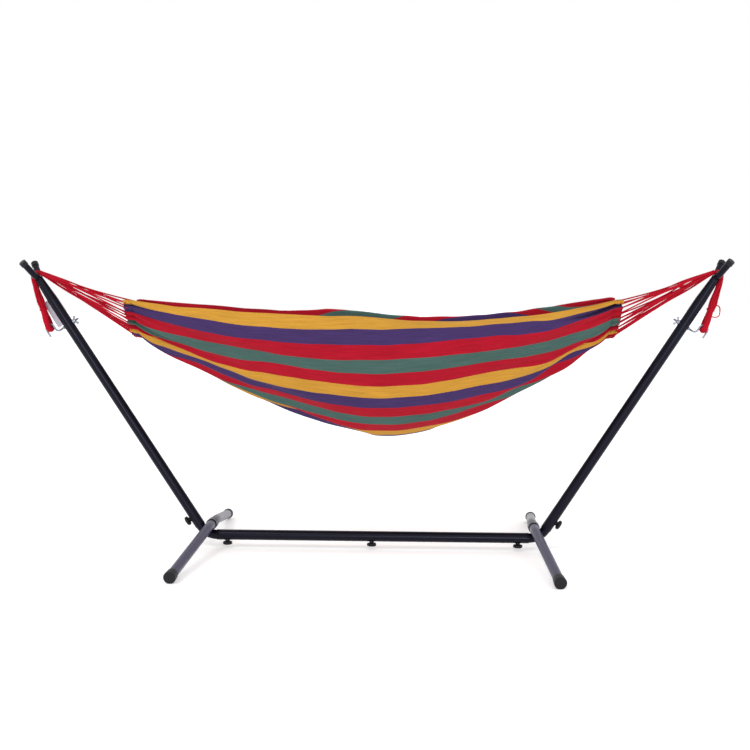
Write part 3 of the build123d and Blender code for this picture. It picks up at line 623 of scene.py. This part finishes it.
# ---- Materials -----------------------------------------------------------------------
class Look:
    """A material, with short calls for the nodes that its looks are built from."""

    def __init__(self, name, colour, roughness, metallic=0.0, specular=0.5):
        self.material = bpy.data.materials.new(name)
        self.material.use_nodes = True
        self.nodes = self.material.node_tree.nodes
        self.links = self.material.node_tree.links
        self.shader = self.nodes["Principled BSDF"]
        self.set("Base Color", (*colour, 1.0))
        self.set("Roughness", roughness)
        self.set("Metallic", metallic)
        self.set("Specular IOR Level", specular)

    def set(self, socket, value):
        self.shader.inputs[socket].default_value = value

    def drive(self, socket, output):
        self.links.new(output, self.shader.inputs[socket])

    def place(self, kind="Object"):
        return self.nodes.new("ShaderNodeTexCoord").outputs[kind]

    def split(self, vector):
        node = self.nodes.new("ShaderNodeSeparateXYZ")
        self.links.new(vector, node.inputs[0])
        return node.outputs

    def math(self, operation, *values):
        node = self.nodes.new("ShaderNodeMath")
        node.operation = operation
        for socket, value in zip(node.inputs, values):
            if isinstance(value, (int, float)):
                socket.default_value = value
            else:
                self.links.new(value, socket)
        return node.outputs[0]

    def plus(self, first, second):
        return self.math("ADD", first, second)

    def minus(self, first, second):
        return self.math("SUBTRACT", first, second)

    def times(self, first, second):
        return self.math("MULTIPLY", first, second)

    def waves(self, value, count):
        """A sine wave that runs count times over each unit of a value."""
        return self.math("SINE", self.times(value, 2 * math.pi * count))

    def noise(self, vector, scale, detail=3.0, stretch=None):
        if stretch:
            mapping = self.nodes.new("ShaderNodeMapping")
            mapping.inputs["Scale"].default_value = stretch
            self.links.new(vector, mapping.inputs["Vector"])
            vector = mapping.outputs["Vector"]
        node = self.nodes.new("ShaderNodeTexNoise")
        node.inputs["Scale"].default_value = scale
        node.inputs["Detail"].default_value = detail
        self.links.new(vector, node.inputs["Vector"])
        return node.outputs["Fac"]

    def between(self, amount, low, high):
        """A 0 to 1 value laid out from low to high."""
        node = self.nodes.new("ShaderNodeMapRange")
        node.inputs["To Min"].default_value = low
        node.inputs["To Max"].default_value = high
        self.links.new(amount, node.inputs["Value"])
        return node.outputs[0]

    def tinted(self, colour, amount, low, high):
        """A colour made darker or lighter by a 0 to 1 value."""
        node = self.nodes.new("ShaderNodeVectorMath")
        node.operation = "SCALE"
        if isinstance(colour, tuple):
            node.inputs[0].default_value = colour
        else:
            self.links.new(colour, node.inputs[0])
        self.links.new(self.between(amount, low, high), node.inputs["Scale"])
        return node.outputs[0]

    def bump(self, height, distance, strength=1.0):
        node = self.nodes.new("ShaderNodeBump")
        node.inputs["Distance"].default_value = distance
        node.inputs["Strength"].default_value = strength
        self.links.new(height, node.inputs["Height"])
        self.drive("Normal", node.outputs["Normal"])


def srgb(r, g, b):
    """Linear values of a colour given in 0 to 255 steps."""
    shares = (r / 255, g / 255, b / 255)
    return tuple(c / 12.92 if c <= 0.04 else ((c + 0.055) / 1.055) ** 2.4 for c in shares)


YELLOW, PURPLE = srgb(203, 148, 56), srgb(68, 50, 98)
RED, GREEN = srgb(172, 20, 40), srgb(72, 100, 94)
STITCH_RED, CRIMSON = srgb(95, 22, 30), srgb(170, 10, 34)
STRIPE_ORDER = (YELLOW, PURPLE, RED, GREEN, RED)
WARP_THREADS, WEFT_THREADS, HEM_WEFT_THREADS, STITCHES = 1150, 1400, 70, 340.0
STITCH_ROWS, STITCH_HALF = (2 / 11, 9 / 11), 0.022
CORD_TWIST_PITCH, THREAD_PITCH, THREAD_END = 0.009, 0.00125, 0.038


def cloth_material(name, is_hem):
    look = Look(name, RED, 0.92, specular=0.08)
    uv = look.place("UV")
    across, along = look.split(uv)[:2]
    edge = look.noise(uv, 60.0, 2.0, stretch=(0.3, 5.0, 1.0))
    shifted = look.plus(across, look.times(look.minus(edge, 0.5), 0.0016))
    ramp = look.nodes.new("ShaderNodeValToRGB")
    ramp.color_ramp.interpolation = "CONSTANT"
    stops = ramp.color_ramp.elements
    stops[1].position = 1 / len(STRIPE_ORDER)
    for index, colour in enumerate(STRIPE_ORDER):
        stop = stops[index] if index < 2 else stops.new(index / len(STRIPE_ORDER))
        stop.color = (*colour, 1)
    look.links.new(look.math("FRACT", look.times(shifted, STRIPES / len(STRIPE_ORDER))), ramp.inputs[0])

    yarn = look.noise(uv, 1.0, 2.0, stretch=(1100.0, 26.0, 1.0))
    weft = look.noise(uv, 1.0, 2.0, stretch=(90.0, 1500.0, 1.0))
    broad = look.noise(uv, 9.0, 4.0)
    slub = look.noise(uv, 1.0, 3.0, stretch=(330.0, 14.0, 1.0))
    coarse = look.plus(look.times(weft, 0.17), look.times(broad, 0.15))
    mixed = look.plus(look.times(yarn, 0.32), look.plus(look.times(slub, 0.36), coarse))
    colour = look.tinted(ramp.outputs[0], mixed, 0.1, 1.6)
    warp_wave = look.waves(across, WARP_THREADS)
    weft_wave = look.waves(along, HEM_WEFT_THREADS if is_hem else WEFT_THREADS)
    weave = look.times(look.times(warp_wave, weft_wave), 0.25)
    height = look.plus(weave, look.plus(yarn, look.times(weft, 0.6)))
    if is_hem:
        # Two rows of stitches along the turned edge, one on each face.
        dash = look.math("GREATER_THAN", look.math("FRACT", look.times(across, STITCHES)), 0.35)
        row = look.math("MAXIMUM", *(
            look.math("LESS_THAN", look.math("ABSOLUTE", look.minus(along, place)), STITCH_HALF)
            for place in STITCH_ROWS
        ))
        shade = look.nodes.new("ShaderNodeMix")
        shade.data_type = "RGBA"
        look.links.new(look.times(dash, row), shade.inputs["Factor"])
        look.links.new(colour, shade.inputs["A"])
        shade.inputs["B"].default_value = (*STITCH_RED, 1)
        colour = shade.outputs["Result"]
    look.drive("Base Color", colour)
    look.set("Sheen Weight", 0.02)
    look.bump(height, 0.00035, 0.8)
    return look.material


def cord_material(name, colour, twisted):
    look = Look(name, colour, 0.85, specular=0.1)
    place = look.place()
    fuzz = look.noise(place, 900.0, 3.0)
    broad = look.noise(place, 30.0, 2.0)
    mixed = look.plus(look.times(fuzz, 0.6), look.times(broad, 0.4))
    height = fuzz
    if twisted:
        # Strands laid round the cord: the UV runs along it and once round it.
        along, around = look.split(look.place("UV"))[:2]
        turns = look.plus(look.times(along, UV_LENGTH / CORD_TWIST_PITCH), around)
        twist = look.math("ABSOLUTE", look.waves(turns, 0.5))
        height = look.plus(look.times(fuzz, 0.35), twist)
        # The twist also tints the colour: darker in the grooves between strands is painted shade,
        # lighter on the strands' crests is painted highlight. The fuzz and broad noise are the cord's
        # own uneven tone.
        mixed = look.plus(look.times(mixed, 0.6), look.times(twist, 0.35))
    look.drive("Base Color", look.tinted(colour, mixed, 0.55, 1.4))
    look.set("Sheen Weight", 0.02)
    look.bump(height, 0.0004 if twisted else 0.00025)
    return look.material


def paint_material(name, colour, roughness, coat):
    look = Look(name, colour, roughness, specular=0.2)
    look.set("Specular Tint", (0.72, 0.72, 1.0, 1.0))
    place = look.place()
    fine = look.noise(place, 700.0, 2.0)
    broad = look.noise(place, 12.0, 4.0)
    scuff = look.noise(place, 55.0, 6.0)
    wear = look.plus(look.times(broad, 0.5), look.times(scuff, 0.5))
    look.drive("Roughness", look.between(wear, roughness - 0.07, roughness + 0.12))
    look.drive("Base Color", look.tinted(colour, broad, 0.8, 1.25))
    look.set("Coat Weight", coat)
    look.set("Coat Roughness", 0.18)
    look.bump(fine, 0.00006, 0.6)
    return look.material


def plastic_material(name, colour, roughness):
    look = Look(name, colour, roughness, specular=0.25)
    place = look.place()
    grain = look.noise(place, 1400.0, 2.0)
    broad = look.noise(place, 60.0, 3.0)
    look.drive("Base Color", look.tinted(colour, broad, 0.75, 1.35))
    look.bump(grain, 0.00012, 0.8)
    return look.material


def zinc_material(name, colour, threaded):
    look = Look(name, colour, 0.32, metallic=1.0)
    place = look.place()
    spangle = look.noise(place, 220.0, 4.0)
    look.drive("Roughness", look.between(spangle, 0.22, 0.46))
    look.drive("Base Color", look.tinted(colour, spangle, 0.85, 1.12))
    height = look.times(spangle, 0.15)
    if threaded:
        # M8 thread on the shank: rings a pitch apart along the hook's axis, out to its first bend.
        x, _, z = look.split(place)[:3]
        reach = look.minus(look.math("ABSOLUTE", x), CORNER_X)
        drop = look.minus(z, BEAM_Z)
        out = look.minus(look.times(reach, RISE), look.times(drop, RUN))
        ring = look.waves(out, 1 / THREAD_PITCH)
        height = look.plus(height, look.times(ring, look.math("LESS_THAN", out, THREAD_END)))
    look.bump(height, 0.0003)
    return look.material


def tag_material(name, colour):
    look = Look(name, colour, 0.6)
    grain = look.noise(look.place(), 900.0, 3.0)
    look.drive("Base Color", look.tinted(colour, grain, 0.86, 1.05))
    look.bump(grain, 0.0002)
    return look.material


ZINC = (0.29, 0.31, 0.36)
striped = cloth_material("striped_cloth", False)
hem_cloth = cloth_material("hem_cloth", True)
cord_red = cord_material("red_cord", CRIMSON, True)
rope_red = cord_material("red_rope", CRIMSON, False)
black_paint = paint_material("black_paint", srgb(8, 8, 16), 0.26, 0.0)
# The feet's copy of the black paint is lighter and bluer: a painted reflection of the bright floor and
# backdrop at grazing angles.
foot_paint_painted_reflection = paint_material("foot_paint_painted_reflection", srgb(64, 61, 82), 0.3, 0.1)
black_plastic = plastic_material("black_plastic", srgb(18, 18, 24), 0.45)
zinc = zinc_material("zinc_steel", ZINC, False)
zinc_thread = zinc_material("zinc_thread", ZINC, True)
tag_white = tag_material("tag_cloth", srgb(196, 193, 206))


def paint(piece, material):
    if piece.material_slots:
        for slot in piece.material_slots:
            slot.material = material
    else:
        piece.data.materials.append(material)


for piece in cords + [tie]:
    paint(piece, cord_red)
for piece in tails:
    paint(piece, rope_red)
paint(bed, striped)
for piece in hems:
    paint(piece, rope_red if piece.name.startswith("eyelets") else hem_cloth)
paint(tag, tag_white)

# CAD nodes by full name first, then by how their names start.
NAMED_LOOKS = {
    "foot_left": foot_paint_painted_reflection, "foot_right": foot_paint_painted_reflection,
    "hook_left": zinc_thread, "hook_right": zinc_thread,
}
FAMILY_LOOKS = (
    (("arm_", "beam_", "elbow", "fork_left", "fork_right", "foot_collar"), black_paint),
    (("foot_cap", "fork_cap", "knob_head"), black_plastic),
    (("hook_", "wing_nut", "weld_nuts"), zinc),
)
for node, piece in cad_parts.items():
    material = NAMED_LOOKS.get(node)
    for starts, family_material in FAMILY_LOOKS:
        if material is None and node.startswith(starts):
            material = family_material
    if material is not None:
        paint(piece, material)

# ---- Floor and light -------------------------------------------------------------------
FLOOR_HALF, FLOOR_Z = 60, -0.001
floor_mesh = bpy.data.meshes.new("floor")
corners = ((-1, -1), (1, -1), (1, 1), (-1, 1))
floor_corners = [(x * FLOOR_HALF, y * FLOOR_HALF, FLOOR_Z) for x, y in corners]
floor_mesh.from_pydata(floor_corners, [], [(0, 1, 2, 3)])
floor = bpy.data.objects.new("floor", floor_mesh)
bpy.context.collection.objects.link(floor)
floor_look = Look("floor", (0.9, 0.9, 0.9), 0.9, specular=0.1)
floor_look.set("Emission Color", (1.0, 1.0, 1.0, 1.0))
floor_look.set("Emission Strength", 0.3)
floor.data.materials.append(floor_look.material)

world = bpy.data.worlds.new("world")
scene.world = world
world.use_nodes = True
sky = world.node_tree.nodes["Background"]
sky.inputs["Color"].default_value = (1.0, 1.0, 1.0, 1.0)
sky.inputs["Strength"].default_value = 1.0


def sun(name, strength, angle, tilt, turn):
    data = bpy.data.lights.new(name, "SUN")
    data.energy = strength
    data.angle = math.radians(angle)
    lamp = bpy.data.objects.new(name, data)
    lamp.rotation_euler = (math.radians(tilt), 0.0, math.radians(turn))
    bpy.context.collection.objects.link(lamp)


sun("key", 0.5, 14, 38, -28)
sun("fill", 0.15, 60, 50, 40)
sun("front", 0.5, 10, 80, 4)
scene.view_settings.view_transform = "Standard"
scene.view_settings.look = "None"
